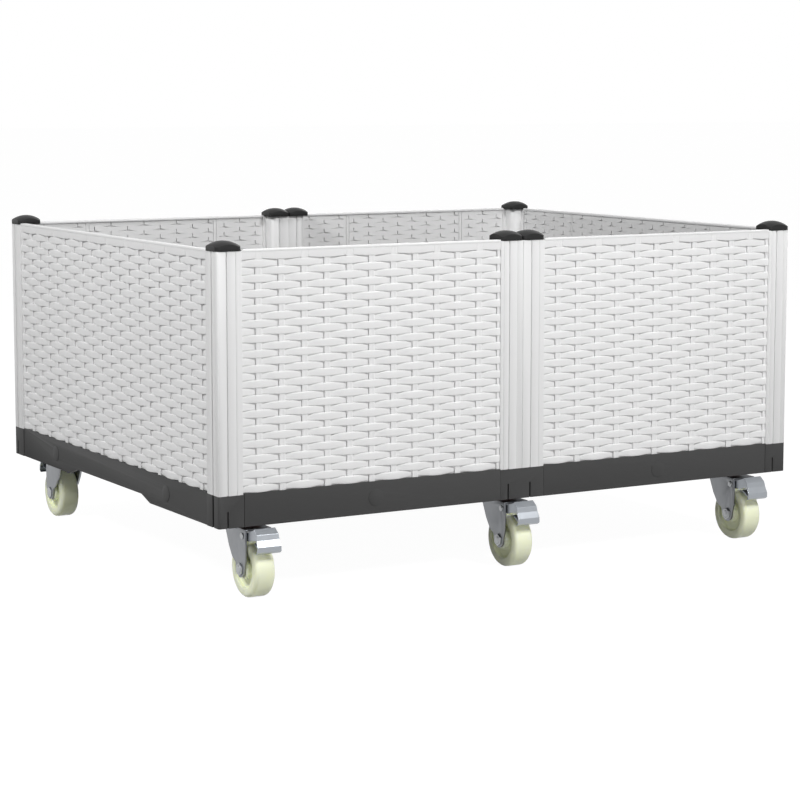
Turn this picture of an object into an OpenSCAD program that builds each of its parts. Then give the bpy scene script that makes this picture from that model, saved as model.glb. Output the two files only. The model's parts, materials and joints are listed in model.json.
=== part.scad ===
// Rolling planter: two dark trays joined side by side, light wall panels that slide into
// corner posts with domed caps, and six braked swivel casters under the trays.
// Origin: on the floor under the middle. +X along the length, -Y is the front, +Z up.

/* [Overall] */
// Length of the two joined trays along X
length = 780; // [660:5:960]
// Depth of the trays along Y
depth = 615; // [480:5:800]
// Height of the dark band that the trays show
band_h = 36.5; // [32:0.5:48]
// Height of the wall panels above the band
panel_h = 265.5; // [160:0.5:360]

/* [Tray] */
// Wall of the skirt, the flange and the corner blocks
skirt_t = 3; // [2.5:0.1:3.6]
// Thickness of the floor
floor_t = 3; // [2.2:0.1:4]
// Height of the floor's underside above the band's lower edge
floor_lift = 8; // [7.5:0.5:12]
// Width of the flange that the panels stand on
flange_w = 11.5; // [11.5:0.1:14]
// Thickness of the lip behind the panels
lip_t = 2; // [1.5:0.1:2.3]
// Height of that lip above the band
lip_h = 5; // [3:0.5:9]
// How far the side skirts stand back from the posts' faces
side_inset = 1; // [0.6:0.1:2.8]
// Height of the low wall at the joint of the two trays
joint_wall_h = 16; // [13:0.5:26]
// Wall of the ribs under the floor
rib_t = 2.2; // [1.6:0.1:3]
// Spacing of the ribs under the floor
rib_pitch = 65; // [50:1:90]
// Rim of a caster's pad round the plate
pad_rim = 3; // [1:0.5:4]
// Radius of the drain holes
drain_r = 4; // [3:0.5:6]
// Spacing of the drain holes
drain_pitch = 130; // [100:1:160]
// Radius of the shallow round bosses on the skirts
boss_r = 9.5; // [7:0.5:11]
// How far those bosses stand out
boss_out = 0.5; // [0.3:0.1:1]
// Length of the notch under each side skirt, at its bottom
notch_l = 244; // [160:2:300]
// Slope of the notch's ends, measured along the depth
notch_slope = 24; // [10:1:40]
// Height of the notch
notch_h = 7.5; // [5:0.5:8]
// How far the notch reaches in under the floor
notch_in = 45; // [20:1:60]
// Width of the seams beside the outer blocks
seam_w = 0.8; // [0.4:0.1:1.5]
// Distance from the front corner to the gap beside the front left block
block_gap_at = 12; // [8:0.5:16]
// Width of that gap
block_gap_w = 4; // [2:0.1:6]
// Depth of the slits in the blocks' lower halves
slit_d = 2.4; // [1:0.1:2.4]

/* [Posts] */
// Width of a post, and of the corner block under it
post_w = 30; // [28:0.5:34]
// Width of the post's hollow core
core_w = 26; // [25:0.2:27.4]
// Radius of the outer corners of the posts and blocks
post_r = 2.5; // [1:0.1:5]
// The same where two posts meet at the joint of the trays
joint_r = 1; // [0.4:0.1:2]
// Radius of the post's inner corner
post_inner_r = 9; // [4:0.5:10]
// Wall of the post
post_wall = 2.4; // [1.8:0.1:2.6]
// How far the lip of a panel channel stands back from the post's face
channel_lip_in = 0.6; // [0.3:0.1:1]
// Thickness of that lip
channel_lip_t = 2.2; // [1.8:0.1:2.4]
// Width of the groove down each outer face
groove_w = 2; // [1.2:0.1:3]
// Depth of that groove
groove_d = 1.2; // [0.8:0.1:1.4]
// Distance from a face's left edge to the middle of its groove
groove_near = 11; // [9:0.5:12.5]
// Distance from a face's left edge to the shallow line beside the groove
line_near = 22; // [18:0.5:23]
// Width of that line
line_w = 0.8; // [0.4:0.1:1.2]
// Depth of that line
line_d = 0.35; // [0.2:0.05:0.6]
// Height of the spigot that fills the post's foot
spigot_h = 22; // [12:1:40]

/* [Panels] */
// Thickness of a panel at its rim
panel_t = 8; // [7.8:0.1:8.2]
// How far a panel stands back from the posts' faces
panel_in = 1.2; // [1:0.1:1.3]
// How far the woven field stands back from the rim
field_in = 1; // [0.6:0.1:1.4]
// Thickness of the tongue in the post's channel
tongue_t = 4.2; // [3.4:0.1:4.4]
// Depth of the tongue in the channel
tongue_l = 5.8; // [4:0.2:6]
// Height of the top rim
rim_h = 3.1; // [2.5:0.1:6]
// Height of one row of the weave
row_h = 8.2; // [6:0.1:12]
// Spacing of the upright stakes that the rows weave round
stake_pitch = 28.1; // [20:0.1:40]
// Distance from a short panel's end to its first stake
front_stake = 20.8; // [8:0.1:24]
// Distance from a side panel's end to its first stake
side_stake = 2.1; // [1:0.1:14]
// Width of the hollow that a row leaves where it passes behind a stake
hollow_w = 14; // [8:0.1:18]
// Depth of that hollow
hollow_d = 1; // [0.4:0.1:1.6]
// Width of the two stiffening ribs inside
panel_rib_w = 4; // [3:0.5:8]
// How far those ribs stand out of the inner face
panel_rib_out = 0.4; // [0.2:0.1:1.1]
// Clearance between a tongue and its channel
slide_gap = 0.2; // [0.1:0.05:0.3]

/* [Caps] */
// Height of a cap
cap_h = 11.4; // [9:0.2:16]
// Radius of a cap's corners
cap_r = 5; // [2:0.5:8]
// Radius of the cap's dome
dome_r = 31; // [28:0.5:45]
// How far a cap hangs over the posts' outer faces
cap_over = 0.7; // [0.3:0.1:1.5]
// How far the caps' lower edges lie below the panels' tops
cap_drop = 1.4; // [0.5:0.1:2.5]
// Length of the plug under the cap
plug_l = 14; // [8:0.5:24]
// Wall of the plug
plug_wall = 1.8; // [1.4:0.1:2.4]
// Clearance of a spigot or plug in the post
plug_gap = 0.3; // [0.1:0.05:0.5]

/* [Joining clips] */
// Thickness of the clip that covers the joint
clip_t = 3; // [2.5:0.1:3.5]
// Gap between the clip and the band on each side
clip_gap = 0.3; // [0.1:0.05:0.6]
// Depth of the clip's foot under the blocks
clip_foot_l = 15; // [10:0.5:18]
// Radius of the clip's pegs
clip_peg_r = 2.5; // [2:0.1:3.5]
// Length of those pegs
clip_peg_l = 5; // [3:0.5:8]

/* [Wheels] */
// Diameter of a wheel
wheel_d = 63.5; // [58:0.5:70]
// Width of the tread
tread_w = 24.5; // [22:0.5:25]
// Radius of the tread's edges
tread_edge_r = 4.5; // [2:0.5:6]
// Radius of the dish in each side
dish_r = 21.4; // [18:0.2:23]
// Depth of that dish
dish_d = 5; // [2:0.5:7]
// Radius of the hub
hub_r = 11; // [9.5:0.5:14]
// Radius of the axle bolt
axle_r = 4; // [3:0.5:5]
// Running clearance on a radius
run_gap = 0.05; // [0.03:0.01:0.09]

/* [Forks] */
// Thickness of the fork's steel
fork_t = 2.5; // [2:0.1:3]
// Width between the fork's legs
fork_gap = 27.5; // [27.1:0.1:29]
// Distance from the swivel axis to the axle
trail = 28.4; // [26:0.2:32]
// Gap between the wheel's top and the crown
crown_gap = 11.8; // [11.4:0.2:14]
// Radius of the fork's crown round the swivel axis
crown_r = 25; // [22:0.5:28]
// Distance from the axle to the leg's front edge
leg_front = 12.5; // [11:0.5:14]
// Radius of the leg's lower end
leg_end_r = 9; // [8.5:0.5:11]
// Distance from the swivel axis to the leg's rear edge at the top
leg_rear = 14; // [10:0.5:18]
// Distance of the swivel axes from the trays' outer edges
caster_in = 53.3; // [50:0.1:64]

/* [Caster plates] */
// Thickness of a caster plate
plate_t = 2.5; // [2:0.1:3.5]
// Length of a caster plate along X
plate_l = 84; // [80:1:88]
// Width of a caster plate along Y
plate_w = 62; // [56:1:66]
// Radius of the plate's corners
plate_r = 8; // [4:0.5:10]
// Spacing of the screws along X
screw_x = 64; // [58:1:68]
// Spacing of the screws along Y
screw_y = 44; // [40:1:46]
// Radius of a screw's shank
screw_r = 2.2; // [1.8:0.1:2.8]
// Radius of a screw's head
screw_head_r = 4.8; // [4:0.1:5.5]
// Height of a screw's head
screw_head_h = 2.2; // [1.6:0.1:2.8]
// Length of a screw's shank
screw_l = 10.5; // [9:0.5:11]
// How far the plates lie above the band's lower edge
plate_inset = 1; // [0.4:0.1:2]
// Height of the bearing ring under the plate
race_h = 4; // [3.4:0.1:6]
// Outer radius of the bearing ring
race_r = 22; // [19:0.5:23]
// Width of the bearing ring's section
race_w = 9; // [6:0.5:12]
// Radius of the king pin
king_r = 5; // [4:0.5:6]
// Radius of the king pin's head
king_head_r = 9; // [7.5:0.5:11]
// Height of the king pin's head
king_head_h = 2.4; // [2:0.1:3.4]
// Gap between faces that turn past each other
turn_gap = 0.3; // [0.2:0.05:0.5]

/* [Brake pedals] */
// Reach of the pedal from its pin
pedal_reach = 35; // [32:0.5:40]
// Height of the pedal's face
pedal_h = 26.5; // [24:0.5:30]
// How far the pedal's top stands above its pin
pedal_up = 10.5; // [9:0.5:11.5]
// Width of the pedal at its top
pedal_top_w = 26; // [25.8:0.2:27]
// Width of the pedal at its lip
pedal_lip_w = 30; // [28:0.5:34]
// Thickness of the pedal's steel
pedal_t = 1.8; // [1.4:0.1:2.4]
// Radius of the pedal's pin
pin_r = 2; // [1.5:0.1:2.5]
// Distance of the pin in front of the axle
pin_out = 5.6; // [5:0.2:6.4]
// Distance of the pin below the crown
pin_drop = 5.2; // [5:0.1:5.6]
// Radius of the pedal's ears round the pin
ear_r = 4.6; // [4.2:0.1:4.8]
// Width over the pedal's ears
ear_w = 25.8; // [25:0.2:26.4]
// Turn of the pedal from released to pressed, in degrees
pedal_swing = 15; // [10:1:16]
// Gap left between the pressed shoe and the tread
shoe_gap = 0.4; // [0.3:0.1:1]

/* [Hidden] */
$fn = 64;

// Overrun of every cut past the face that it opens
over = 1;
// Overlap that joins two shapes of one piece
join = 0.1;

half_l = length / 2;
half_d = depth / 2;
// Widths between the posts, and the side skirt's outer face
front_w = half_l - 2 * post_w;
side_l = depth - 2 * post_w;
side_x = -half_l + side_inset;

// Heights, from the floor up through the caster to the caps
wheel_r = wheel_d / 2;
crown_z = wheel_d + crown_gap;
crown_top = crown_z + fork_t;
plate_z = crown_top + turn_gap + race_h;
base_z = plate_z + plate_t - plate_inset;
floor_z = base_z + floor_lift;
floor_top = floor_z + floor_t;
pad_z = plate_z + plate_t;
band_top = base_z + band_h;
panel_top = band_top + panel_h;
cap_z = panel_top - cap_drop;
// The corner blocks end this much below the band, so that the panels seat first
block_drop = 1;
block_top = band_top - block_drop;
peg_z = base_z + band_h * 2 / 3;
pin_z = crown_z - pin_drop;

// Section of a post
core_near = post_wall;
core_far = core_w - post_wall - (post_w - core_w) / 2;
channel_near = channel_lip_in + channel_lip_t;
channel_t = tongue_t + 2 * slide_gap;
jaw_t = 2.4;
channel_floor = post_w - tongue_l - 2 * slide_gap;
core_mid = (core_near + core_far) / 2;
core_open = core_far - core_near;
groove_far = post_w - groove_near;
line_far = post_w - line_near;

// Post places: name, side along X (0 is the joint), front or back, turn, panel channels
posts = [
    ["front_left", -1, -1, 0, true, true],
    ["front_mid_left", 0, -1, 90, false, true],
    ["front_mid_right", 0, -1, 0, true, false],
    ["front_right", 1, -1, 90, true, true],
    ["back_left", -1, 1, 270, true, true],
    ["back_mid_left", 0, 1, 180, true, false],
    ["back_mid_right", 0, 1, 270, false, true],
    ["back_right", 1, 1, 180, true, true]
];

// Caster places: name, side along X, front or back
casters = [
    ["front_left", -1, -1], ["front_middle", 0, -1], ["front_right", 1, -1],
    ["back_left", -1, 1], ["back_middle", 0, 1], ["back_right", 1, 1]
];

tray_color = "#4f5050";
panel_color = "#e9e9e9";
post_color = "#e4e4e4";
cap_color = "#3d3e3e";
steel_color = "#8d9093";
pedal_color = "#a4abb2";
bolt_color = "#9a9ea1";
wheel_color = "#eef0cc";
ring_color = "#4b2c27";

// Places

module at_post(p) {
    translate([p[1] * half_l, p[2] * half_d, 0]) rotate([0, 0, p[3]]) children();
}

module at_caster(c) {
    translate([c[1] * (half_l - caster_in), c[2] * (half_d - caster_in), 0])
        rotate([0, 0, c[2] < 0 ? 0 : 180])
            children();
}

// Flat shapes

// A rectangle with one rounded corner at its origin
module one_round(size_x, size_y, r) {
    translate([r, r]) circle(r);
    translate([r, 0]) square([size_x - r, size_y]);
    translate([0, r]) square([size_x, size_y - r]);
}

// A centred rectangle with four rounded corners
module all_round(size_x, size_y, r) {
    square([size_x - 2 * r, size_y], center = true);
    square([size_x, size_y - 2 * r], center = true);
    for (sx = [-1, 1], sy = [-1, 1])
        translate([sx * (size_x / 2 - r), sy * (size_y / 2 - r)]) circle(r);
}

// Extrudes a flat Y-Z outline along X, centred
module along_x(width) {
    rotate([90, 0, 90]) linear_extrude(width, center = true) children();
}

// Tray

// The block under one post with its spigot, open underneath. The joint's blocks stand
// back from the front and the bottom for the joining clip.
module corner_block(r, back_x = 0, back_y = 0) {
    foot = max(back_x, back_y);
    difference() {
        union() {
            intersection() {
                translate([0, 0, base_z + foot])
                    linear_extrude(block_top - base_z - foot) one_round(post_w, post_w, r);
                translate([back_x, back_y, base_z]) cube([post_w, post_w, band_h]);
            }
            translate([core_near + plug_gap, core_near + plug_gap, block_top - join])
                cube([core_open - 2 * plug_gap, core_open - 2 * plug_gap, spigot_h + join]);
        }
        translate([back_x + skirt_t, back_y + skirt_t, base_z - over])
            cube([
                post_w - 2 * skirt_t - back_x,
                post_w - 2 * skirt_t - back_y,
                block_top - base_z - skirt_t + over
            ]);
    }
}

// The left half of the base. The right one is the same tray turned half round.
module base_tray() {
    difference() {
        union() {
            for (p = [posts[0], posts[4]]) at_post(p) corner_block(post_r);
            at_post(posts[1]) corner_block(joint_r, back_x = clip_t);
            at_post(posts[5]) corner_block(joint_r, back_y = clip_t);
            tray_front_wall();
            mirror([0, 1, 0]) tray_front_wall();
            tray_side_wall();
            tray_floor();
            tray_bosses();
        }
        tray_notch();
        tray_slits();
        tray_holes();
        plate_recesses();
    }
}

// Skirt, flange, inner wall and lip along the front
module tray_front_wall() {
    skirt_l = front_w + 2 * join;
    translate([-half_l + post_w - join, -half_d, 0]) {
        translate([0, 0, base_z]) cube([skirt_l, skirt_t, band_h]);
        translate([0, 0, band_top - skirt_t]) cube([skirt_l, flange_w, skirt_t]);
        translate([0, flange_w - lip_t, floor_z]) cube([skirt_l, lip_t, band_top - floor_z]);
        translate([join, flange_w - lip_t, band_top - join]) cube([front_w, lip_t, lip_h + join]);
    }
}

// The same along the side, set back from the blocks, and the low wall at the joint
module tray_side_wall() {
    skirt_l = side_l + 2 * join;
    wall_x = -half_l + flange_w - lip_t;
    translate([0, -half_d + post_w - join, 0]) {
        translate([side_x, 0, base_z]) cube([skirt_t, skirt_l, band_h]);
        translate([side_x, 0, band_top - skirt_t]) cube([flange_w - side_inset, skirt_l, skirt_t]);
        translate([wall_x, 0, floor_z]) cube([lip_t, skirt_l, band_top - floor_z]);
        translate([wall_x, join, band_top - join]) cube([lip_t, side_l, lip_h + join]);
        translate([-skirt_t, 0, pad_z]) cube([skirt_t, skirt_l, joint_wall_h]);
    }
}

// The floor between the inner walls, the ribs under it and the casters' pads
module tray_floor() {
    floor_in = flange_w - lip_t;
    rib_h = floor_z - pad_z + join;
    rib_x = side_x + join;
    rib_y = half_d - join;
    rib_rows = floor((half_d - post_w) / rib_pitch);
    translate([-half_l + floor_in, -half_d + floor_in, floor_z])
        cube([half_l - floor_in, depth - 2 * floor_in, floor_t]);
    for (i = [1 : floor((half_l - post_w) / rib_pitch)])
        translate([-i * rib_pitch - rib_t / 2, -rib_y, pad_z]) cube([rib_t, 2 * rib_y, rib_h]);
    for (j = [-rib_rows : rib_rows])
        translate([rib_x, j * rib_pitch - rib_t / 2, pad_z]) cube([-rib_x, rib_t, rib_h]);
    intersection() {
        for (c = [casters[0], casters[1], casters[3], casters[4]])
            at_caster(c)
                translate([0, 0, pad_z])
                    linear_extrude(rib_h)
                        all_round(plate_l + 2 * pad_rim, plate_w + 2 * pad_rim, plate_r);
        translate([-half_l, -half_d, base_z]) cube([half_l, depth, band_h]);
    }
}

// Shallow round bosses in the middle of the front skirt and near the side skirt's ends
module tray_bosses() {
    boss_z = base_z + band_h / 2;
    side_share = 0.272;
    for (s = [-1, 1]) {
        translate([-half_l / 2, s * (half_d - join), boss_z])
            rotate([-s * 90, 0, 0]) cylinder(boss_out + join, r = boss_r);
        translate([side_x + join, s * depth * side_share, boss_z])
            rotate([0, -90, 0]) cylinder(boss_out + join, r = boss_r);
    }
}

// The notch under the side skirt
module tray_notch() {
    low = notch_l / 2;
    high = low - notch_slope;
    translate([side_x - over, 0, 0])
        rotate([90, 0, 90])
            linear_extrude(notch_in + over)
                polygon([
                    [-low, base_z - over], [low, base_z - over], [low, base_z],
                    [high, base_z + notch_h], [-high, base_z + notch_h], [-low, base_z]
                ]);
}

// A slit in a block's lower half that carries on a post's groove
module block_slit(at) {
    translate([at - groove_w / 2, -over, base_z - over])
        cube([groove_w, over + slit_d, over + band_h / 2]);
}

// A full-height seam between a block and the skirt beside it
module block_seam() {
    translate([post_w + seam_w / 2, -over, base_z - over])
        cube([seam_w, over + seam_w, band_h + 2 * over]);
}

// Seams and slits in the blocks' faces, and the gap beside the front left block
module tray_slits() {
    at_post(posts[0]) block_slit(groove_near);
    at_post(posts[4]) block_slit(groove_near);
    at_post(posts[4]) mirror([1, -1, 0]) block_slit(groove_far);
    at_post(posts[0]) block_seam();
    at_post(posts[4]) mirror([1, -1, 0]) block_seam();
    at_post(posts[0])
        translate([-over, block_gap_at, base_z - over])
            cube([over + skirt_t + join, block_gap_w, band_h + 2 * over]);
}

// Drain holes clear of the pads, and blind holes for the screws and the clips' pegs
module tray_holes() {
    count_x = floor((half_l - 2 * post_w) / drain_pitch);
    count_y = floor((half_d - 2 * post_w) / drain_pitch);
    for (i = [0 : count_x - 1], j = [-count_y : count_y])
        translate([-half_l / 2 + (i - (count_x - 1) / 2) * drain_pitch, j * drain_pitch, base_z])
            cylinder(band_h, r = drain_r);
    for (c = [casters[0], casters[1], casters[3], casters[4]], sx = [-1, 1], sy = [-1, 1])
        at_caster(c)
            translate([sx * screw_x / 2, sy * screw_y / 2, pad_z - over])
                cylinder(screw_l - plate_t + over + join, r = screw_r + run_gap);
    for (s = [-1, 1])
        translate([-post_w / 2, s * (half_d - clip_t), peg_z])
            rotate([s * 90, 0, 0]) cylinder(post_w, r = clip_peg_r + run_gap, center = true);
}

// The recesses for the outer plates in the corner blocks' lower edges
module plate_recesses() {
    for (c = [casters[0], casters[3]])
        at_caster(c)
            translate([0, 0, base_z - over])
                linear_extrude(over + plate_inset)
                    all_round(plate_l + 2 * slide_gap, plate_w + 2 * slide_gap, plate_r);
}

// Joining clip: a plate across both joint blocks, a foot under them and two pegs
module joining_clip() {
    clip_w = 2 * (post_w - clip_gap);
    color(tray_color)
        difference() {
            union() {
                translate([-clip_w / 2, -half_d, base_z]) cube([clip_w, clip_t, block_top - base_z]);
                translate([-clip_w / 2, -half_d, base_z]) cube([clip_w, clip_foot_l, clip_t]);
                for (s = [-1, 1])
                    translate([s * post_w / 2, -half_d + clip_t - join, peg_z])
                        rotate([-90, 0, 0]) cylinder(clip_peg_l + join, r = clip_peg_r);
            }
            for (at = [-groove_far, groove_near]) translate([at, -half_d, 0]) block_slit(0);
        }
}

// Posts and caps

module post_section(channel_x, channel_y, side_groove) {
    difference() {
        union() {
            post_core(channel_x && channel_y ? post_r : joint_r);
            if (channel_x) channel_jaws();
            if (channel_y) mirror([1, -1, 0]) channel_jaws();
        }
        translate([core_near, core_near]) square(core_open);
        face_groove(groove_near, groove_w, groove_d);
        face_groove(line_near, line_w, line_d);
        mirror([1, -1, 0]) {
            face_groove(side_groove, groove_w, groove_d);
            face_groove(line_far, line_w, line_d);
        }
        if (channel_x) channel_cut();
        if (channel_y) mirror([1, -1, 0]) channel_cut();
        if (!channel_x) translate([core_w, 0]) rotate(90) face_groove(core_mid, groove_w, groove_d);
        if (!channel_y) translate([core_w, core_w]) rotate(180) face_groove(core_mid, groove_w, groove_d);
    }
}

// A groove down the face y = 0, cut inwards
module face_groove(at, width, deep) {
    translate([at - width / 2, -over]) square([width, over + deep]);
}

module post_core(r) {
    one_round(core_w, core_w - post_inner_r, r);
    one_round(core_w - post_inner_r, core_w, r);
    translate([core_w - post_inner_r, core_w - post_inner_r]) circle(post_inner_r);
}

module channel_jaws() {
    lip_from = core_w - join;
    translate([lip_from, channel_lip_in]) square([post_w - lip_from, channel_lip_t]);
    translate([lip_from, channel_near + channel_t]) square([post_w - lip_from, jaw_t]);
}

module channel_cut() {
    translate([channel_floor, channel_near]) square([post_w, channel_t]);
    translate([core_w - join - slide_gap, -over]) square([post_w, over + channel_lip_in]);
}

// The front left post's side groove runs down to the gap beside its block
module post(p) {
    side_groove = p[0] == "front_left" ? block_gap_at + block_gap_w / 2 : groove_far;
    color(post_color)
        at_post(p)
            translate([0, 0, block_top])
                linear_extrude(cap_z - block_top) post_section(p[4], p[5], side_groove);
}

// A domed cap with a hollow plug. It hangs over the posts' outer faces, but not at the joint.
module cap(p) {
    joint = p[1] == 0;
    over_x = joint && p[4] ? 0 : cap_over;
    over_y = joint && p[5] ? 0 : cap_over;
    far = post_w - slide_gap;
    mid_x = (far - over_x) / 2;
    mid_y = (far - over_y) / 2;
    color(cap_color)
        at_post(p) {
            intersection() {
                translate([mid_x, mid_y, cap_z])
                    linear_extrude(cap_h) all_round(far + over_x, far + over_y, cap_r);
                translate([mid_x, mid_y, cap_z + cap_h - dome_r]) sphere(dome_r);
            }
            plug_w = core_open - 2 * plug_gap;
            translate([core_near + plug_gap, core_near + plug_gap, cap_z - plug_l])
                difference() {
                    cube([plug_w, plug_w, plug_l + join]);
                    translate([plug_wall, plug_wall, -over])
                        cube([plug_w - 2 * plug_wall, plug_w - 2 * plug_wall, plug_l + over]);
                }
        }
}

// Panels

// A panel in its own frame: x along its width between the posts, y inwards from its face
module panel_body(width, first) {
    field_t = panel_t - 2 * field_in;
    tongue_y = channel_near + slide_gap - panel_in;
    rib_share = 0.22;
    color(panel_color) {
        difference() {
            union() {
                translate([0, field_in, 0]) cube([width, field_t, panel_h]);
                translate([-tongue_l, tongue_y, 0])
                    cube([width + 2 * tongue_l, tongue_t, panel_h - cap_drop - slide_gap]);
            }
            weave_hollows(width, first);
        }
        translate([0, 0, panel_h - rim_h]) cube([width, panel_t, rim_h]);
        for (share = [rib_share, 1 - rib_share])
            translate([width * share - panel_rib_w / 2, panel_t - field_in - join, 0])
                cube([panel_rib_w, panel_rib_out + join, panel_h]);
    }
}

// Every row of the weave passes behind every second stake, and the next row behind the others
module weave_hollows(width, first) {
    rows = floor((panel_h - rim_h) / row_h);
    last = floor((width - first) / stake_pitch);
    for (row = [0 : rows - 1], stake = [row % 2 : 2 : last]) {
        from = max(0, first + stake * stake_pitch - hollow_w / 2);
        to = min(width, first + stake * stake_pitch + hollow_w / 2);
        translate([from, 0, panel_h - rim_h - (row + 1) * row_h])
            cube([to - from, field_in + hollow_d, row_h]);
    }
}

module front_panel(left) {
    start_x = left ? -half_l + post_w : post_w;
    translate([start_x, -half_d + panel_in, band_top]) panel_body(front_w, front_stake);
}

module side_panel() {
    translate([-half_l + panel_in, half_d - post_w, band_top])
        rotate([0, 0, -90]) panel_body(side_l, side_stake);
}

// Casters, in a frame with the swivel axis at the origin and the wheel towards -Y

module caster_plate() {
    color(steel_color)
        translate([0, 0, plate_z])
            difference() {
                linear_extrude(plate_t) all_round(plate_l, plate_w, plate_r);
                translate([0, 0, -over]) cylinder(plate_t + 2 * over, r = king_r + run_gap);
                for (sx = [-1, 1], sy = [-1, 1])
                    translate([sx * screw_x / 2, sy * screw_y / 2, -over])
                        cylinder(plate_t + 2 * over, r = screw_r + run_gap);
            }
}

module bearing_ring() {
    color(ring_color)
        translate([0, 0, plate_z - race_h])
            difference() {
                cylinder(race_h, r = race_r);
                translate([0, 0, -over]) cylinder(race_h + 2 * over, r = race_r - race_w);
            }
}

module king_pin() {
    head_z = crown_z - turn_gap - king_head_h;
    color(bolt_color) {
        translate([0, 0, head_z]) cylinder(king_head_h, r = king_head_r);
        translate([0, 0, head_z]) cylinder(plate_z + plate_t - head_z, r = king_r);
    }
}

module caster_screw() {
    color(bolt_color) {
        translate([0, 0, plate_z - screw_head_h]) cylinder(screw_head_h, r = screw_head_r);
        translate([0, 0, plate_z - join]) cylinder(screw_l + join, r = screw_r);
    }
}

// Outline of a fork leg in the Y-Z plane. The rear edge sweeps up from the axle to the crown.
module leg_outline() {
    leg_h = crown_top - wheel_r;
    front_y = -trail - leg_front;
    rear_l = trail + leg_rear;
    rear_shares = [[0.22, -0.03], [0.27, 0.13], [0.47, 0.25], [0.66, 0.5], [0.82, 0.82], [1, 1]];
    difference() {
        union() {
            translate([-trail, wheel_r]) circle(leg_end_r);
            polygon(concat(
                [
                    [front_y, crown_top],
                    [front_y, wheel_r + leg_front],
                    [-trail - leg_end_r, wheel_r],
                    [-trail, wheel_r - leg_end_r / 2]
                ],
                [for (s = rear_shares) [-trail + s[0] * rear_l, wheel_r + s[1] * leg_h]]
            ));
        }
        translate([-trail, wheel_r]) circle(axle_r + run_gap);
        translate([-trail - pin_out, pin_z]) circle(pin_r + run_gap);
    }
}

module fork() {
    leg_x = (fork_gap + fork_t) / 2;
    color(steel_color) {
        difference() {
            translate([0, 0, crown_z])
                linear_extrude(fork_t) {
                    circle(crown_r);
                    translate([-fork_gap / 2 - fork_t, -trail - leg_front])
                        square([fork_gap + 2 * fork_t, trail + leg_front]);
                }
            translate([0, 0, crown_z - over]) cylinder(fork_t + 2 * over, r = king_r + run_gap);
        }
        for (s = [-1, 1]) translate([s * leg_x, 0, 0]) along_x(fork_t) leg_outline();
    }
}

module wheel() {
    hub_gap = 0.4;
    hub_w = fork_gap - 2 * hub_gap;
    bore_r = axle_r + run_gap;
    color(wheel_color)
        translate([0, -trail, wheel_r])
            rotate([0, 90, 0])
                rotate_extrude()
                    difference() {
                        union() {
                            translate([0, -hub_w / 2]) square([hub_r, hub_w]);
                            translate([0, -tread_w / 2 + dish_d])
                                square([dish_r + join, tread_w - 2 * dish_d]);
                            translate([dish_r, -tread_w / 2])
                                square([wheel_r - tread_edge_r - dish_r, tread_w]);
                            translate([dish_r, -tread_w / 2 + tread_edge_r])
                                square([wheel_r - dish_r, tread_w - 2 * tread_edge_r]);
                            for (s = [-1, 1])
                                translate([wheel_r - tread_edge_r, s * (tread_w / 2 - tread_edge_r)])
                                    circle(tread_edge_r);
                        }
                        translate([0, -hub_w]) square([bore_r, 2 * hub_w]);
                    }
}

// The axle bolt, its nut and the pedal's pin: three separate pieces
module axle_set() {
    leg_out = fork_gap / 2 + fork_t;
    hex_r = axle_r * 1.85;
    head_h = axle_r * 0.4;
    nut_h = axle_r * 0.5;
    stub = axle_r / 10;
    pin_head = pin_r / 2;
    color(bolt_color) {
        translate([-leg_out - nut_h - stub, -trail, wheel_r])
            rotate([0, 90, 0]) cylinder(2 * leg_out + nut_h + stub + join, r = axle_r);
        translate([leg_out, -trail, wheel_r])
            rotate([0, 90, 0]) cylinder(head_h, r = hex_r, $fn = 6);
        translate([-leg_out - nut_h, -trail, wheel_r])
            rotate([0, 90, 0])
                difference() {
                    cylinder(nut_h, r = hex_r, $fn = 6);
                    translate([0, 0, -over]) cylinder(nut_h + 2 * over, r = axle_r + run_gap);
                }
        translate([0, -trail - pin_out, pin_z])
            rotate([0, 90, 0]) {
                cylinder(2 * (leg_out + pin_head), r = pin_r, center = true);
                for (s = [-1, 1])
                    translate([0, 0, s * (leg_out + pin_head / 2)])
                        cylinder(pin_head, r = pin_r * 1.8, center = true);
            }
    }
}

// Outlines of the pedal in the Y-Z plane, measured from its pin

face_shares = [[0.657, 0], [0.857, 0.21], [0.9, 0.434], [1, 0.698], [0.986, 0.925], [0.9, 1]];

function pedal_point(s) = [-s[0] * pedal_reach, pedal_up - s[1] * pedal_h];

module pedal_face_outline() {
    outer = [for (s = face_shares) pedal_point(s)];
    inner = [for (i = [len(outer) - 1 : -1 : 0]) outer[i] + [pedal_t, -pedal_t / 3]];
    polygon(concat(outer, inner));
}

// The ears reach from the pin to the face, and are cut back to the tread of the pressed pedal
module ear_outline() {
    crown_front = leg_front - pin_out + turn_gap * 3;
    top_y = ear_r - turn_gap;
    difference() {
        union() {
            circle(ear_r);
            polygon([
                [0, top_y], [-crown_front, top_y], [-crown_front, pedal_up / 2],
                pedal_point(face_shares[0]) + [pedal_t / 2, 0],
                pedal_point(face_shares[1]) + [pedal_t / 2, 0],
                pedal_point(face_shares[2]) + [pedal_t / 2, 0],
                pedal_point([0.78, 0.8]), pedal_point([0.3, 0.8]), [0, -ear_r]
            ]);
        }
        pressed_tread(shoe_gap);
        circle(pin_r + run_gap);
    }
}

// The tread as the pressed pedal meets it, seen from the released pedal
module pressed_tread(gap) {
    rotate(-pedal_swing) translate([pin_out, wheel_r - pin_z]) circle(wheel_r + gap);
}

module shoe_outline() {
    intersection() {
        ear_outline();
        pressed_tread(shoe_gap + pedal_t);
        translate([-pedal_reach, -pedal_h]) square([pedal_reach - ear_r, pedal_h + pedal_up]);
    }
}

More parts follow.
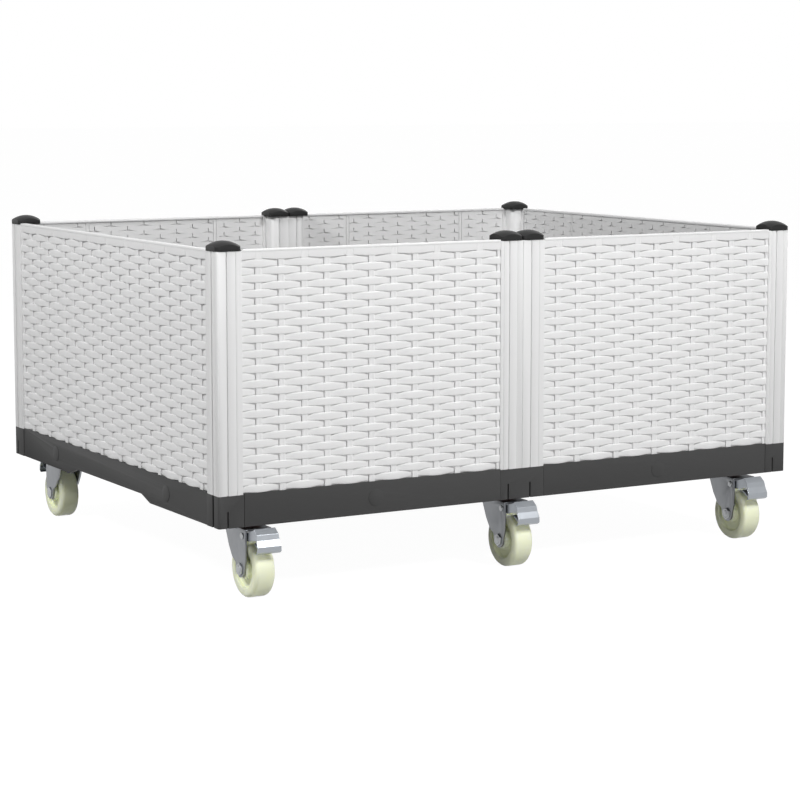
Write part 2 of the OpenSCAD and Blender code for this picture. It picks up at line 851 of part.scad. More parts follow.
module brake_pedal() {
    ear_t = pedal_t;
    color(pedal_color)
        translate([0, -trail - pin_out, pin_z]) {
            intersection() {
                along_x(pedal_lip_w) pedal_face_outline();
                rotate([90, 0, 0])
                    linear_extrude(4 * pedal_reach, center = true)
                        polygon([
                            [-pedal_top_w / 2, pedal_up + over], [pedal_top_w / 2, pedal_up + over],
                            [pedal_lip_w / 2, pedal_up - pedal_h - over],
                            [-pedal_lip_w / 2, pedal_up - pedal_h - over]
                        ]);
            }
            for (s = [-1, 1]) translate([s * (ear_w - ear_t) / 2, 0, 0]) along_x(ear_t) ear_outline();
            along_x(ear_w - ear_t) shoe_outline();
        }
}

// Pieces

color(tray_color) base_tray();  // base_tray_left
color(tray_color) rotate([0, 0, 180]) base_tray();  // base_tray_right
joining_clip();  // joining_clip_front
rotate([0, 0, 180]) joining_clip();  // joining_clip_back
front_panel(true);  // panel_front_left
front_panel(false);  // panel_front_right
rotate([0, 0, 180]) front_panel(true);  // panel_back_right
rotate([0, 0, 180]) front_panel(false);  // panel_back_left
side_panel();  // panel_left
rotate([0, 0, 180]) side_panel();  // panel_right
for (p = posts) post(p);
for (p = posts) cap(p);
for (c = casters) at_caster(c) caster_plate();
for (c = casters) at_caster(c) fork();
for (c = casters) at_caster(c) axle_set();
for (c = casters) at_caster(c) wheel();
for (c = casters) at_caster(c) brake_pedal();
for (c = casters) at_caster(c) king_pin();  // king_pins
for (c = casters) at_caster(c) bearing_ring();  // bearing_rings
for (c = casters, sx = [-1, 1], sy = [-1, 1])  // caster_screws
        at_caster(c) translate([sx * screw_x / 2, sy * screw_y / 2, 0]) caster_screw();
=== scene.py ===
import json
import math

import bmesh
import bpy
from mathutils import Matrix, Vector

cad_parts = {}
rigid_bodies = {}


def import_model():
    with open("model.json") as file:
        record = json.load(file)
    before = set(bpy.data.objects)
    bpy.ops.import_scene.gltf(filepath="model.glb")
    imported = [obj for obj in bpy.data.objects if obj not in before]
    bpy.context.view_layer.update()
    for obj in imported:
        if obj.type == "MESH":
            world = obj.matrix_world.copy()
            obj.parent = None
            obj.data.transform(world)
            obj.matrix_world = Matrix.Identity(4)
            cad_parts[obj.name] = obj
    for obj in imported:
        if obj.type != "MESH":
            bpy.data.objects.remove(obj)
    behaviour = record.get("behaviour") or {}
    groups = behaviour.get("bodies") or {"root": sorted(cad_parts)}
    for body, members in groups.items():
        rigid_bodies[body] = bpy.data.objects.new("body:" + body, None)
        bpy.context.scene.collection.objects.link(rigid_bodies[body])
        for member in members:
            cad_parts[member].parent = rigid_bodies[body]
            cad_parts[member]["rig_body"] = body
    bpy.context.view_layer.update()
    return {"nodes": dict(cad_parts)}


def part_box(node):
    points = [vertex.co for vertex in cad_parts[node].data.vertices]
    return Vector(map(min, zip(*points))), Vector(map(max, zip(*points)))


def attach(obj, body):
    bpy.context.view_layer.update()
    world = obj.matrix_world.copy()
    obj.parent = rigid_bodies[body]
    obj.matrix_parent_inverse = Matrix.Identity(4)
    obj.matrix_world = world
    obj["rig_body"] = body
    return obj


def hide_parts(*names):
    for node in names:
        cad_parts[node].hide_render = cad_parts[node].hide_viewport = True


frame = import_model()

# The room: a wide pale floor, four soft boxes that light the planter from the front, from
# the left, from low down and from behind, and the camera where the photograph was taken.

WHITE = "#ffffff"
FLOOR_GREY = "#9a9a9a"
FLOOR_REACH = 30
# The background's strength as a light. To the camera and in reflections it is 1, white.
AIR_LIGHT = 0.16
# The floor's own glow, and its share of what the camera and reflections get from it
FLOOR_GLOW = 1.62
GLOW_SHARE = 0.6
LIGHT_DISTANCE = 2.2
# The camera was fitted to the photograph's perspective: mm, share of the frame, metres
# and degrees.
LENS = 103.79
FILM_W = 36
LENS_SHIFT = -0.06
CAMERA_SPOT = (-1.4492, -2.5308, 0.5554)
CAMERA_DOWN = 6.47
CAMERA_TURN = -30.03


def linear(hex_colour):
    """An sRGB colour such as "#8a8a8a" as the linear colour that a shader takes."""
    shares = [int(hex_colour[i : i + 2], 16) / 255 for i in (1, 3, 5)]
    return [s / 12.92 if s <= 0.04045 else ((s + 0.055) / 1.055) ** 2.4 for s in shares] + [1]


def add(tree, kind, inputs=None, **settings):
    """Adds a node with its settings. An input is a value, or another node's output."""
    node = tree.nodes.new(kind)
    for name, value in settings.items():
        setattr(node, name, value)
    for name, value in (inputs or {}).items():
        if isinstance(value, bpy.types.NodeSocket):
            tree.links.new(value, node.inputs[name])
        else:
            node.inputs[name].default_value = value
    return node


def new_material(name):
    """An empty material and its node tree."""
    material = bpy.data.materials.new(name)
    material.use_nodes = True
    material.node_tree.nodes.clear()
    return material, material.node_tree


def link_object(name, data):
    """Puts new object data into the scene."""
    piece = bpy.data.objects.new(name, data)
    bpy.context.scene.collection.objects.link(piece)
    return piece


def seen_share(tree):
    """1 where the camera looks, straight, in a mirror or through glass, and else 0."""
    rays = add(tree, "ShaderNodeLightPath")
    share = rays.outputs["Is Camera Ray"]
    for kind in ("Is Glossy Ray", "Is Transmission Ray"):
        share = add(
            tree, "ShaderNodeMath", {0: share, 1: rays.outputs[kind]}, operation="MAXIMUM"
        ).outputs[0]
    return share


scene = bpy.context.scene
scene.view_settings.view_transform = "Standard"

# The background is white to the camera and in reflections, and lights more weakly.
world = bpy.data.worlds.new("studio_air")
world.use_nodes = True
world.node_tree.nodes.clear()
strength = add(
    world.node_tree,
    "ShaderNodeMapRange",
    {"Value": seen_share(world.node_tree), "To Min": AIR_LIGHT, "To Max": 1.0},
)
air = add(
    world.node_tree,
    "ShaderNodeBackground",
    {"Color": linear(WHITE), "Strength": strength.outputs[0]},
)
add(world.node_tree, "ShaderNodeOutputWorld", {"Surface": air.outputs[0]})
scene.world = world

# A matt pale floor. The camera and reflections see it as white as the background, so that
# the two meet without an edge, and the planter's shadow on it stays.
floor_mat, tree = new_material("matt_pale_floor")
matt = add(tree, "ShaderNodeBsdfDiffuse", {"Color": linear(FLOOR_GREY)})
glow = add(tree, "ShaderNodeEmission", {"Color": linear(WHITE), "Strength": FLOOR_GLOW})
share = add(
    tree, "ShaderNodeMath", {0: seen_share(tree), 1: GLOW_SHARE}, operation="MULTIPLY"
)
both = add(
    tree,
    "ShaderNodeMixShader",
    {0: share.outputs[0], 1: matt.outputs[0], 2: glow.outputs[0]},
)
add(tree, "ShaderNodeOutputMaterial", {"Surface": both.outputs[0]})
floor_mesh = bpy.data.meshes.new("floor")
floor_mesh.from_pydata(
    [(x * FLOOR_REACH, y * FLOOR_REACH, 0) for x, y in ((-1, -1), (1, -1), (1, 1), (-1, 1))],
    [],
    [(0, 1, 2, 3)],
)
floor_mesh.materials.append(floor_mat)
link_object("floor", floor_mesh)

# The soft boxes: name, the spot that each looks at, the way to it from there, its side in
# metres and its power in watts
for name, spot, towards, side, power in (
    ("front_light", (-0.28, -0.28, 0.25), (0.32, -0.70, 0.64), 0.5, 33),
    ("left_light", (-0.38, 0, 0.25), (-0.72, -0.12, 0.68), 0.5, 33),
    ("low_light", (-0.15, -0.28, 0.15), (-0.18, -0.98, 0.05), 0.8, 10),
    ("back_light", (0, 0.28, 0.25), (0.55, 0.83, 0.12), 0.8, 14),
):
    lamp = bpy.data.lights.new(name, "AREA")
    lamp.energy = power
    lamp.size = side
    lamp_piece = link_object(name, lamp)
    lamp_piece.location = Vector(spot) + Vector(towards).normalized() * LIGHT_DISTANCE
    lamp_piece.rotation_euler = Vector(towards).to_track_quat("Z", "Y").to_euler()

lens = bpy.data.cameras.new("photo_lens")
lens.lens = LENS
lens.sensor_width = FILM_W
lens.shift_y = LENS_SHIFT
camera = link_object("photo_camera", lens)
camera.location = CAMERA_SPOT
camera.rotation_euler = (math.radians(90 - CAMERA_DOWN), 0, math.radians(CAMERA_TURN))
scene.camera = camera

# Base trays and joining clips: injection-moulded polypropylene coloured dark grey right
# through. The clips' pegs are pressed into both trays. The mould is spark-eroded, which
# leaves a fine, even, satin grain.

MM = 0.001
TRAY_GREY = "#4b4b4b"
TRAY_EDGE = 0.5 * MM
PLASTIC_IOR = 1.49
# Where the melt flowed, the sheen differs a little in patches of this size.
FLOW_MM = 90
FLOW_SHEEN = 0.06


def moulded_plastic(name, colour, roughness, grain_mm, grain_depth, specular=0.5):
    """Moulded polypropylene: one even colour, a fine grain and slightly uneven sheen."""
    material, tree = new_material(name)
    place = add(tree, "ShaderNodeTexCoord")
    grain = add(
        tree,
        "ShaderNodeTexNoise",
        {"Vector": place.outputs["Object"], "Scale": 1000 / grain_mm, "Detail": 2.0},
    )
    flow = add(
        tree,
        "ShaderNodeTexNoise",
        {"Vector": place.outputs["Object"], "Scale": 1000 / FLOW_MM, "Detail": 3.0},
    )
    sheen = add(
        tree,
        "ShaderNodeMapRange",
        {
            "Value": flow.outputs["Fac"],
            "To Min": roughness - FLOW_SHEEN,
            "To Max": roughness + FLOW_SHEEN,
        },
    )
    bump = add(
        tree,
        "ShaderNodeBump",
        {"Height": grain.outputs["Fac"], "Distance": grain_depth * MM, "Strength": 1.0},
    )
    body = add(
        tree,
        "ShaderNodeBsdfPrincipled",
        {
            "Base Color": linear(colour),
            "Roughness": sheen.outputs[0],
            "IOR": PLASTIC_IOR,
            "Specular IOR Level": specular,
            "Normal": bump.outputs[0],
        },
    )
    add(tree, "ShaderNodeOutputMaterial", {"Surface": body.outputs[0]})
    return material


def stand_in(node, mesh, material, ending="_made"):
    """Puts a new mesh in a CAD node's place, on the node's own body."""
    mesh.materials.append(material)
    piece = link_object(node + ending, mesh)
    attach(piece, frame["nodes"][node]["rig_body"])
    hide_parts(node)
    return piece


def soften(piece, radius, segments=2, angle=30):
    """Rounds the edges that turn by more than an angle, as a mould or press leaves them."""
    bevel = piece.modifiers.new("edge", "BEVEL")
    bevel.width = radius
    bevel.segments = segments
    bevel.limit_method = "ANGLE"
    bevel.angle_limit = math.radians(angle)
    bevel.harden_normals = True
    return piece


def rounded(node, radius, material, segments=2):
    """Copies a CAD node, joins its flat faces and softens its edges."""
    form = bmesh.new()
    form.from_mesh(frame["nodes"][node].data)
    bmesh.ops.remove_doubles(form, verts=form.verts, dist=0.002 * MM)
    bmesh.ops.dissolve_limit(
        form, angle_limit=math.radians(0.5), verts=form.verts, edges=form.edges
    )
    mesh = bpy.data.meshes.new(node + "_form")
    form.to_mesh(mesh)
    form.free()
    mesh.shade_smooth()
    return soften(stand_in(node, mesh, material), radius, segments)


# The real grain is a fraction of a millimetre wide, too fine to show, and is drawn at
# 0.9 mm. The caps' grain is drawn as coarse.
tray_plastic = moulded_plastic(
    "grained_polypropylene",
    TRAY_GREY,
    roughness=0.5,
    grain_mm=0.9,
    grain_depth=0.02,
    specular=0.05,
)
for node in (
    "base_tray_left",
    "base_tray_right",
    "joining_clip_front",
    "joining_clip_back",
):
    rounded(node, TRAY_EDGE, tray_plastic)

# Corner posts: hollow profiles of pale grey polypropylene with rounded corners and a
# groove down each face, slid over the trays' spigots. They are smooth and satin, with a
# faint waviness 2.5 mm wide.

POST_GREY = "#e2e2e2"
POST_EDGE = 0.35 * MM
POSTS = [
    f"{side}_{place}"
    for side in ("front", "back")
    for place in ("left", "mid_left", "mid_right", "right")
]

post_plastic = moulded_plastic(
    "smooth_polypropylene", POST_GREY, roughness=0.45, grain_mm=2.5, grain_depth=0.01
)
for place in POSTS:
    rounded("post_" + place, POST_EDGE, post_plastic)

# Wall panels: pale grey polypropylene moulded to look like flat rattan woven round
# upright stakes. Each is one piece with a plain rim and slides into the posts' channels.

PANEL_GREY = "#e8e8e8"
# Every size in this section is in mm until a panel is put in its place.
PANEL_H = 265.5
PANEL_T = 8
SHORT_PANEL_W = 330
LONG_PANEL_W = 555
RIM_H = 3.1
RIM_CHAMFER = 0.4
FIELD_H = PANEL_H - RIM_H
# The tongue at each end: how far it stands out, starts inside the panel and ends below
# its top, its depths below the outer face, and its chamfer
TONGUE_L = 5.8
TONGUE_ROOT = 0.2
TONGUE_DROP = 1.6
TONGUE_DEPTHS = (1.8, 6.0)
TONGUE_CHAMFER = 0.3
# The plain sheet between the two faces, as depths below the outer face, and how far it
# goes up into the rim
CORE = (3.4, 3.7)
CORE_IN_RIM = 0.5
# Raised forms go this far down into the sheet, and keep this far from the panel's ends.
SINK = 0.1
INSET = 0.05
# No form shorter than this is made, and a strand or brick is drawn in this many lengths.
SHORTEST = 1
LENGTHS = 8
# The outer face: rows of strands, and a stake in every pitch. A strand is high and wide
# over its stake, and sunk and narrow at its ends.
ROW_H = 8.2
STAKE_PITCH = 28.1
STAKE_W = 7.4
STAKE_DEPTH = 1.1
SHORT_FIRST_STAKE = 20.8
LONG_FIRST_STAKE = 2.1
# A stake's chamfer, its two ridges and the hollows beside them, as depths below its face
STAKE_CHAMFER = 0.4
STAKE_RIDGE = -0.08
STAKE_HOLLOW = 0.1
# In the top row, every second stake is wider and lies in front.
TOP_STAKE_W = STAKE_W + 1.9
TOP_STAKE_DEPTH = 0.35
STRAND_DEPTHS = (0.2, 2.8)
STRAND_HALVES = (4.45, 3.1)
# A strand's section: shares of its half height, and how far the face falls back there
STRAND_SECTION = (
    (-1, 0.45),
    (-0.93, 0.12),
    (-0.75, 0),
    (0.6, 0),
    (0.84, 0.12),
    (0.94, 0.4),
    (1, 0.8),
)
STRAND_REACH = STAKE_PITCH - STAKE_W / 2 - 0.6
# The inner face: flat plates laid like bricks, each cut out below its ends to this reach
# and height, and two upright ribs
BRICK_H = 6.15
BRICK_PITCH = 23.6
BRICK_DEPTH = 1.9
BRICK_GAP = 1.2
BRICK_CUT = (8, 1.7)
RIB_SHARES = (0.22, 0.78)
RIB_W = 4
RIB_GAP = 0.5


class Weave:
    """Collects one panel's corners and faces: x runs along it, d into it, z up."""

    def __init__(self):
        self.corners = []
        self.faces = []
        self.place = lambda x, d, z: (x, d, z)

    def grid(self, lines):
        """A surface through equally long lines of corners."""
        start = len(self.corners)
        count = len(lines[0])
        for line in lines:
            self.corners.extend(self.place(*corner) for corner in line)
        for i in range(len(lines) - 1):
            for j in range(count - 1):
                a = start + i * count + j
                self.faces.append((a, a + count, a + count + 1, a + 1))

    def block(self, x0, x1, d0, d1, z0, z1, soft=0.0):
        """A bar along x with its four long edges chamfered by soft."""
        ring = [
            (d0 + soft, z0),
            (d0, z0 + soft),
            (d0, z1 - soft),
            (d0 + soft, z1),
            (d1 - soft, z1),
            (d1, z1 - soft),
            (d1, z0 + soft),
            (d1 - soft, z0),
        ]
        self.grid([[(x, d, z) for d, z in ring + ring[:1]] for x in (x0, x1)])
        for x, order in ((x0, ring), (x1, ring[::-1])):
            start = len(self.corners)
            self.corners.extend(self.place(x, d, z) for d, z in order)
            self.faces.append(tuple(range(start, start + len(ring))))

    def raised(self, lines, depth):
        """A surface whose outline is closed down into the sheet, to that depth."""
        lines = [[(x, depth, z) for x, d, z in lines[0]]] + lines
        lines.append([(x, depth, z) for x, d, z in lines[-1]])
        closed = []
        for line in lines:
            (x0, _, z0), (x1, _, z1) = line[0], line[-1]
            closed.append([(x0, depth, z0)] + line + [(x1, depth, z1)])
        self.grid(closed)

    def strand(self, start, end, centre, z, top_row):
        """One strand. The top row lies flat and reaches up to the rim."""
        crest, sunk = STRAND_DEPTHS
        wide, narrow = STRAND_HALVES
        lines = []
        for i in range(LENGTHS + 1):
            x = start + (end - start) * i / LENGTHS
            far = math.pi * abs(x - centre) / STRAND_REACH
            depth = crest if top_row else crest + (sunk - crest) * (1 - math.cos(far)) / 2
            half = narrow + (wide - narrow) * math.cos(far / 2)
            line = []
            for share, fall in STRAND_SECTION:
                joined = top_row and share > 0
                height = z + share * (ROW_H / 2 if joined else half)
                line.append((x, depth + (0 if joined else fall), max(height, INSET)))
            lines.append(line)
        self.raised(lines, CORE[0] + SINK)

    def stake(self, centre, width, z0, z1, face, limit):
        """One upright stake with two soft ridges, cut off at the panel's ends."""
        half = width / 2
        side = [
            (half, STAKE_CHAMFER),
            (half - STAKE_CHAMFER, STAKE_HOLLOW),
            (half * 0.65, STAKE_RIDGE),
            (half * 0.3, STAKE_HOLLOW),
        ]
        section = [(-x, d) for x, d in side] + side[::-1]
        line = [(min(max(centre + x, INSET), limit - INSET), face + d) for x, d in section]
        self.raised([[(x, d, z) for x, d in line] for z in (z1, z0)], CORE[0] + SINK)

    def outer_face(self, width, first):
        """Stakes and strands. Row 0 is the top one."""
        last = int((width - first) / STAKE_PITCH)
        for k in range(last + 1):
            centre = first + k * STAKE_PITCH
            self.stake(centre, STAKE_W, 0, FIELD_H, STAKE_DEPTH, width)
            if k % 2 == 0:
                low = FIELD_H - ROW_H
                self.stake(centre, TOP_STAKE_W, low, FIELD_H, TOP_STAKE_DEPTH, width)
        for row in range(round(FIELD_H / ROW_H)):
            z = FIELD_H - (row + 0.5) * ROW_H
            for k in range(-1, last + 2):
                centre = first + k * STAKE_PITCH
                start = max(centre - STRAND_REACH, INSET)
                end = min(centre + STRAND_REACH, width - INSET)
                if (k - row) % 2 == 1 and end - start > SHORTEST:
                    self.strand(start, end, centre, z, row == 0)

    def brick(self, start, end, cuts, z0, z1):
        """One flat plate. Each cut is an end of the brick, where its lower edge rises."""
        reach, rise = BRICK_CUT
        lines = []
        for i in range(LENGTHS + 1):
            x = start + (end - start) * (1 - math.cos(math.pi * i / LENGTHS)) / 2
            far = min(min(abs(x - cut) for cut in cuts) / reach, 1)
            low = z0 + rise * (1 - far**2)
            lines.append([(x, BRICK_DEPTH, low), (x, BRICK_DEPTH, z1)])
        self.raised(lines, PANEL_T - CORE[1] + SINK)

    def inner_face(self, width):
        """Bricks in even and odd rows, and the two ribs between them."""
        count = round(width / BRICK_PITCH)
        first = (width - (count - 1) * BRICK_PITCH) / 2
        ribs = [width * share for share in RIB_SHARES]
        half_rib = RIB_W / 2
        for x in ribs:
            bottom = PANEL_T - CORE[1] + SINK
            self.block(x - half_rib, x + half_rib, BRICK_DEPTH, bottom, 0, FIELD_H)
        row = 0
        z1 = FIELD_H
        while z1 > SHORTEST:
            z0 = max(z1 - BRICK_H, 0)
            for k in range(-1, count + 1):
                if (k - row) % 2 == 0:
                    continue
                cuts = [first + (k + side) * BRICK_PITCH for side in (-1, 1)]
                start = max(cuts[0] + BRICK_GAP / 2, INSET)
                end = min(cuts[1] - BRICK_GAP / 2, width - INSET)
                parts = [(start, end)]
                for x in ribs:
                    if start < x < end:
                        clear = half_rib + RIB_GAP
                        parts = [(start, x - clear), (x + clear, end)]
                for part_start, part_end in parts:
                    if part_end - part_start > SHORTEST:
                        self.brick(part_start, part_end, cuts, z0, z1)
            z1 -= BRICK_H
            row += 1


def panel_mesh(name, width, first):
    """One whole panel: rim, sheet, tongues and both patterned faces."""
    weave = Weave()
    weave.block(0, width, 0, PANEL_T, FIELD_H, PANEL_H, RIM_CHAMFER)
    weave.block(0, width, *CORE, 0, FIELD_H + CORE_IN_RIM)
    top = PANEL_H - TONGUE_DROP
    for x0, x1 in ((-TONGUE_L, TONGUE_ROOT), (width - TONGUE_ROOT, width + TONGUE_L)):
        weave.block(x0, x1, *TONGUE_DEPTHS, 0, top, TONGUE_CHAMFER)
    weave.outer_face(width, first)
    weave.place = lambda x, d, z: (width - x, PANEL_T - d, z)
    weave.inner_face(width)
    mesh = bpy.data.meshes.new(name)
    corners = [[c * MM for c in corner] for corner in weave.corners]
    mesh.from_pydata(corners, [], weave.faces)
    mesh.transform(Matrix.Translation(Vector((-width, -PANEL_T, -PANEL_H)) * MM / 2))
    mesh.shade_smooth()
    mesh.set_sharp_from_angle(angle=math.radians(50))
    return mesh


def strand_plastic(name, colour):
    """The panels' polypropylene: satin, with faint lines along the strands that copy the
    grain of rattan, about 1.1 mm wide and 60 mm long."""
    material, tree = new_material(name)
    place = add(tree, "ShaderNodeTexCoord")
    stretch = add(
        tree,
        "ShaderNodeMapping",
        {"Vector": place.outputs["Object"], "Scale": (1000 / 60, 1000 / 60, 1000 / 1.1)},
    )
    grain = add(
        tree,
        "ShaderNodeTexNoise",
        {"Vector": stretch.outputs[0], "Scale": 1.0, "Detail": 2.0},
    )
    bump = add(
        tree,
        "ShaderNodeBump",
        {"Height": grain.outputs["Fac"], "Distance": 0.12 * MM, "Strength": 1.0},
    )
    body = add(
        tree,
        "ShaderNodeBsdfPrincipled",
        {
            "Base Color": linear(colour),
            "Roughness": 0.5,
            "IOR": PLASTIC_IOR,
            "Normal": bump.outputs[0],
        },
    )
    add(tree, "ShaderNodeOutputMaterial", {"Surface": body.outputs[0]})
    return material


panel_plastic = strand_plastic("moulded_rattan_polypropylene", PANEL_GREY)
short_panel = panel_mesh("short_panel", SHORT_PANEL_W, SHORT_FIRST_STAKE)
long_panel = panel_mesh("long_panel", LONG_PANEL_W, LONG_FIRST_STAKE)
for node, panel, turn in (
    ("panel_front_left", short_panel, 0),
    ("panel_front_right", short_panel, 0),
    ("panel_right", long_panel, 90),
    ("panel_back_right", short_panel, 180),
    ("panel_back_left", short_panel, 180),
    ("panel_left", long_panel, 270),
):
    low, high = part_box(node)
    middle = Matrix.Translation((Vector(low) + Vector(high)) / 2)
    mesh = panel.copy()
    mesh.transform(middle @ Matrix.Rotation(math.radians(turn), 4, "Z"))
    stand_in(node, mesh, panel_plastic, "_woven")

# Post caps: domes with a plug that is pushed into the post's hollow. They are dark grey
# polypropylene from a smoother mould than the trays', so they look glossier.

CAP_GREY = "#2c2c2c"
CAP_EDGE = 0.7 * MM

cap_plastic = moulded_plastic(
    "satin_dark_polypropylene",
    CAP_GREY,
    roughness=0.4,
    grain_mm=0.9,
    grain_depth=0.01,
    specular=0.12,
)
for place in POSTS:
    rounded("cap_" + place, CAP_EDGE, cap_plastic, 3)

# Caster plates, their screws, the bearing rings and the king pins: zinc-plated pressed
# steel, cool grey and slightly hazy, with a dark greased race between plate and fork. The
# screws hold each plate under the trays.

CASTERS = [
    f"{side}_{place}" for side in ("front", "back") for place in ("left", "middle", "right")
]
PRESSED_ZINC = "#8b8d90"
TURNED_ZINC = "#a4a6a8"
RACE_BROWN = "#6e3830"
PLATE_EDGE = 0.4 * MM
KING_PIN_EDGE = 0.5 * MM
SCREW_EDGE = 0.4 * MM
RING_EDGE = 0.6 * MM
# The plating's clouds make it more and less rough by this much, and are this deep.
CLOUD_HAZE = 0.1
CLOUD_DEPTH = 0.03 * MM


def zinc_plated(name, colour, roughness, cloud_mm):
    """Zinc-plated steel: cool grey metal with a cloudy, slightly uneven haze."""
    material, tree = new_material(name)
    place = add(tree, "ShaderNodeTexCoord")
    cloud = add(
        tree,
        "ShaderNodeTexNoise",
        {"Vector": place.outputs["Object"], "Scale": 1000 / cloud_mm, "Detail": 4.0},
    )
    haze = add(
        tree,
        "ShaderNodeMapRange",
        {
            "Value": cloud.outputs["Fac"],
            "To Min": roughness - CLOUD_HAZE,
            "To Max": roughness + CLOUD_HAZE,
        },
    )
    bump = add(
        tree,
        "ShaderNodeBump",
        {"Height": cloud.outputs["Fac"], "Distance": CLOUD_DEPTH, "Strength": 1.0},
    )
    body = add(
        tree,
        "ShaderNodeBsdfPrincipled",
        {
            "Base Color": linear(colour),
            "Metallic": 1.0,
            "Roughness": haze.outputs[0],
            "Normal": bump.outputs[0],
        },
    )
    add(tree, "ShaderNodeOutputMaterial", {"Surface": body.outputs[0]})
    return material


fork_steel = zinc_plated("zinc_plated_pressed_steel", PRESSED_ZINC, 0.42, cloud_mm=12)
bolt_steel = zinc_plated("zinc_plated_turned_steel", TURNED_ZINC, 0.36, cloud_mm=5)
ring_steel = zinc_plated("greased_race_steel", RACE_BROWN, 0.5, cloud_mm=6)
for place in CASTERS:
    rounded("caster_plate_" + place, PLATE_EDGE, fork_steel)
rounded("king_pins", KING_PIN_EDGE, bolt_steel)
rounded("caster_screws", SCREW_EDGE, bolt_steel)
rounded("bearing_rings", RING_EDGE, ring_steel)

# Swivel forks: two tapering legs under a round crown that turns on the king pin. They
# are pressed from zinc-plated sheet steel, which leaves broad, rounded edges.

FORK_EDGE = 1.15 * MM

for place in CASTERS:
    rounded("fork_" + place, FORK_EDGE, fork_steel, 3)

# Axle bolts with their nuts, which carry the wheels, and the riveted pins of the pedals:
# turned from zinc-plated steel, a little brighter than the pressed sheet.

AXLE_EDGE = 0.4 * MM

for place in CASTERS:
    rounded("axle_set_" + place, AXLE_EDGE, bolt_steel)

# Wheels: solid, moulded from a pale cream-green polypropylene, spinning on the axle
# bolts. It is waxy, so that light sinks in a little and the edges look soft.

WHEEL_CREAM = "#f8fedc"
WHEEL_EDGE = 1.6 * MM
# How far red, green and blue light go in the wax
WAX_DEPTHS = (9 * MM, 9 * MM, 5 * MM)


def waxy_plastic(name, colour):
    """Unfilled polypropylene: light sinks some mm into it, under a faint satin skin."""
    material, tree = new_material(name)
    place = add(tree, "ShaderNodeTexCoord")
    skin = add(
        tree,
        "ShaderNodeTexNoise",
        {"Vector": place.outputs["Object"], "Scale": 1000 / 2.5, "Detail": 2.0},
    )
    bump = add(
        tree,
        "ShaderNodeBump",
        {"Height": skin.outputs["Fac"], "Distance": 0.01 * MM, "Strength": 1.0},
    )
    body = add(
        tree,
        "ShaderNodeBsdfPrincipled",
        {
            "Base Color": linear(colour),
            "Roughness": 0.42,
            "IOR": PLASTIC_IOR,
            "Subsurface Weight": 0.4,
            "Subsurface Radius": WAX_DEPTHS,
            "Subsurface Scale": 1.0,
            "Normal": bump.outputs[0],
        },
    )
    add(tree, "ShaderNodeOutputMaterial", {"Surface": body.outputs[0]})
    return material


wheel_plastic = waxy_plastic("waxy_cream_polypropylene", WHEEL_CREAM)
for place in CASTERS:
    rounded("wheel_" + place, WHEEL_EDGE, wheel_plastic, 4)

# Brake pedals: each a tread plate folded into five facets, two ears round the pin and a
# shoe for the wheel, pressed and welded from bluish zinc-plated sheet.

PEDAL_ZINC = "#9b9fa4"
PEDAL_EDGE = 0.35 * MM
# The plate's folds are slight, so edges that turn by more than this many degrees count.
PEDAL_FOLD = 8
# Sizes in mm. Outlines run out from the pin (less is further out) and up.
PEDAL_REACH = 35
PEDAL_T = 1.8
PEDAL_FACE = ((-23, 10.5), (-30, 4.9), (-31.5, -1), (-35, -8), (-34.5, -14), (-31.5, -16))
# The plate's half widths at its upper and lower edge
PEDAL_HALVES = (13, 15)
EAR_HALF = 12.9
EAR_TOP = 4.3
EAR_ROUND = 4.6
PEDAL_EAR = [
    (-8, EAR_TOP),
    (-8, 5.2),
    (-22.2, 9.3),
    (-29, 4.2),
    (-30.6, -1),
    (-21, -2.6),
    (-7, -5.4),
]
for degrees in range(-110, 91, 20):
    turn = math.radians(degrees)
    PEDAL_EAR.append((EAR_ROUND * math.cos(turn), min(EAR_ROUND * math.sin(turn), EAR_TOP)))
SHOE_HALF = 9
PEDAL_SHOE = (
    (-33, -9.6),
    (-25, -11.6),
    (-20, -8.2),
    (-14.9, -6.2),
    (-14.5, -7.8),
    (-20, -10.1),
    (-25.5, -13.9),
    (-33, -11.6),
)


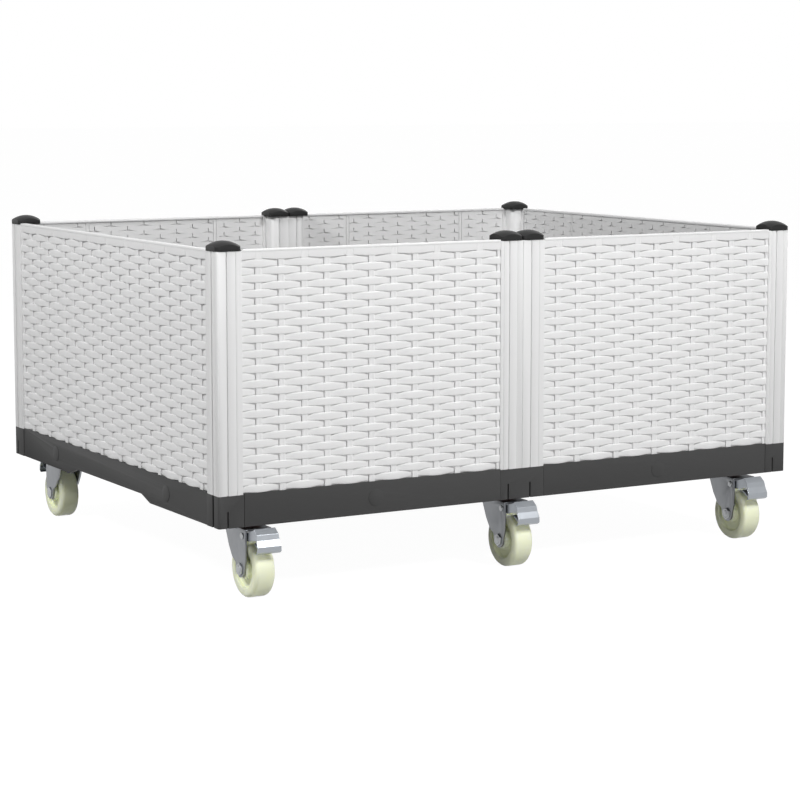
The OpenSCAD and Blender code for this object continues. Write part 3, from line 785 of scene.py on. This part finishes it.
def folded_pedal(name):
    """The plate, the ears and the shoe, each a closed form."""
    inner = [(out + PEDAL_T, up - PEDAL_T / 3) for out, up in PEDAL_FACE[::-1]]
    top, bottom = PEDAL_FACE[0][1], PEDAL_FACE[-1][1]
    upper_half, lower_half = PEDAL_HALVES
    corners = []
    faces = []
    for outline, x0, x1, flared in (
        (list(PEDAL_FACE) + inner, -upper_half, upper_half, True),
        (PEDAL_EAR, -EAR_HALF, PEDAL_T - EAR_HALF, False),
        (PEDAL_EAR, EAR_HALF - PEDAL_T, EAR_HALF, False),
        (PEDAL_SHOE, -SHOE_HALF, SHOE_HALF, False),
    ):
        start = len(corners)
        count = len(outline)
        for x in (x0, x1):
            for out, up in outline:
                down = min(max((top - up) / (top - bottom), 0), 1)
                wider = (lower_half - upper_half) * down if flared else 0
                corners.append((x + math.copysign(wider, x), out, up))
        faces.append([start + i for i in range(count)])
        faces.append([start + count + i for i in reversed(range(count))])
        for i in range(count):
            a, b = start + i, start + (i + 1) % count
            faces.append([a, a + count, b + count, b])
    mesh = bpy.data.meshes.new(name)
    mesh.from_pydata([[c * MM for c in corner] for corner in corners], [], faces)
    form = bmesh.new()
    form.from_mesh(mesh)
    bmesh.ops.recalc_face_normals(form, faces=form.faces)
    form.to_mesh(mesh)
    form.free()
    mesh.shade_smooth()
    return mesh


pedal_steel = zinc_plated("blue_zinc_plated_steel", PEDAL_ZINC, 0.34, cloud_mm=8)
pedal = folded_pedal("folded_pedal")
for place in CASTERS:
    node = "brake_pedal_" + place
    low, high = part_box(node)
    front = place.startswith("front")
    pin_x = (low[0] + high[0]) / 2
    pin_y = low[1] + PEDAL_REACH * MM if front else high[1] - PEDAL_REACH * MM
    pin_z = high[2] - PEDAL_FACE[0][1] * MM
    mesh = pedal.copy()
    mesh.transform(
        Matrix.Translation((pin_x, pin_y, pin_z))
        @ Matrix.Rotation(0 if front else math.pi, 4, "Z")
    )
    piece = soften(stand_in(node, mesh, pedal_steel), PEDAL_EDGE, angle=PEDAL_FOLD)
